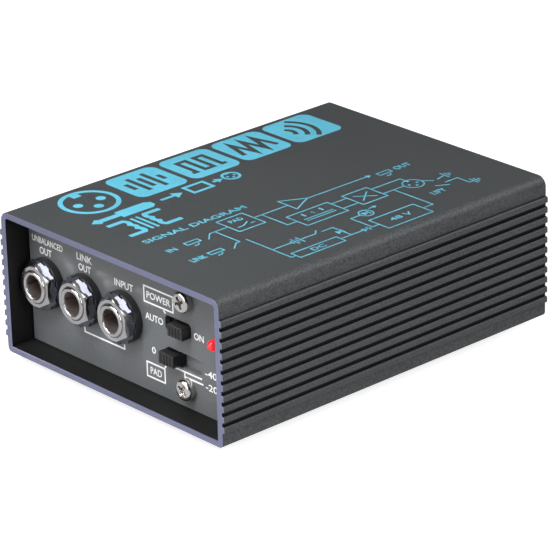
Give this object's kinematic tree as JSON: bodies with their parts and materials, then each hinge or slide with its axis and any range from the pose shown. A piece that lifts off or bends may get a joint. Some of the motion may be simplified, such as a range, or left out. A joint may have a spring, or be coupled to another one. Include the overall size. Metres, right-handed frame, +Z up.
{
  "type": "direct injection box",
  "caption": "Small black ribbed-aluminium direct box: recessed front panel with jacks, slide switches and a lamp; rear connector, ground-lift switch and battery drawer.",
  "frame": {"origin": "middle of the footprint, at the height of the feet's undersides", "axes": "+Z up, +Y from the front panel towards the rear, +X to the right seen from the front"},
  "size_m": [0.087, 0.116, 0.043],
  "materials": {
    "sleeve_black": "black anodised, fine bead-blasted",
    "panel_grey": "satin grey paint",
    "zinc_steel": "satin grey paint over folded steel",
    "screw_steel": "nickel plated",
    "rubber_black": "moulded",
    "nickel_plate": "bright nickel plate",
    "black_plastic": "moulded",
    "knob_black": "moulded, fine texture",
    "shutter_grey": "die-cut sheet",
    "frame_steel": "tin plated",
    "contact_metal": "tin plated bronze",
    "brass_pillar": "plated brass",
    "board_green": "solder resist over glass laminate",
    "lamp_red": "tinted epoxy",
    "connector_shell": "nickel plated zinc casting",
    "battery_wrap": "printed wrap",
    "wire_insulation": "vinyl",
    "capacitor_sleeve": "shrink sleeve",
    "film_box": "potted box",
    "resistor_body": "lacquered"
  },
  "bodies": {
    "box": {"amplifier_chips": "black_plastic", "battery_contacts": "contact_metal", "battery_housing": "black_plastic", "board_screws": "screw_steel", "board_standoffs": "brass_pillar", "chassis": "zinc_steel", "electrolytic_capacitors": "capacitor_sleeve", "film_capacitors": "film_box", "foot_screws": "screw_steel", "front_panel": "panel_grey", "front_screws": "screw_steel", "front_switch_terminals": "contact_metal", "ground_lift_screws": "screw_steel", "ground_lift_switch_body": "black_plastic", "ground_lift_switch_frame": "frame_steel", "ground_lift_terminals": "contact_metal", "hookup_wires": "wire_insulation", "input_jack_body": "black_plastic", "input_jack_bush": "nickel_plate", "jack_contacts": "contact_metal", "jack_insulating_rings": "black_plastic", "jack_lock_washers": "nickel_plate", "jack_nuts": "nickel_plate", "jack_terminals": "contact_metal", "led_leads": "contact_metal", "led_lens": "lamp_red", "led_spacer": "black_plastic", "link_jack_body": "black_plastic", "link_jack_bush": "nickel_plate", "main_board": "board_green", "output_jack_body": "black_plastic", "output_jack_bush": "nickel_plate", "pad_switch_body": "black_plastic", "pad_switch_frame": "frame_steel", "power_switch_body": "black_plastic", "power_switch_frame": "frame_steel", "resistors": "resistor_body", "rubber_feet": "rubber_black", "sleeve": "sleeve_black", "switch_board": "board_green", "switch_board_pillars": "brass_pillar", "switch_board_ribbon": "wire_insulation", "switch_board_screws": "screw_steel", "transistors": "black_plastic", "xlr_insert": "black_plastic", "xlr_nuts": "screw_steel", "xlr_pins": "contact_metal", "xlr_screws": "screw_steel", "xlr_shell": "connector_shell"},
    "power_slider": {"power_knob": "knob_black", "power_shutter": "knob_black"},
    "pad_slider": {"pad_knob": "knob_black", "pad_shutter": "shutter_grey"},
    "lift_slider": {"ground_lift_knob": "knob_black", "ground_lift_shutter": "knob_black"},
    "drawer": {"battery_drawer": "black_plastic", "battery_case": "battery_wrap", "battery_terminals": "contact_metal"}
  },
  "joints": [
    {"name": "power_slide", "type": "slide", "parent": "box", "child": "power_slider", "axis": [1, 0, 0], "range_m": [-0.00385, 0]},
    {"name": "pad_slide", "type": "slide", "parent": "box", "child": "pad_slider", "axis": [1, 0, 0], "range_m": [0, 0.0077]},
    {"name": "lift_slide", "type": "slide", "parent": "box", "child": "lift_slider", "axis": [0, 0, 1], "range_m": [-0.00385, 0]},
    {"name": "drawer_slide", "type": "slide", "parent": "box", "child": "drawer", "axis": [0, 1, 0], "range_m": [0, 0.045]}
  ]
}
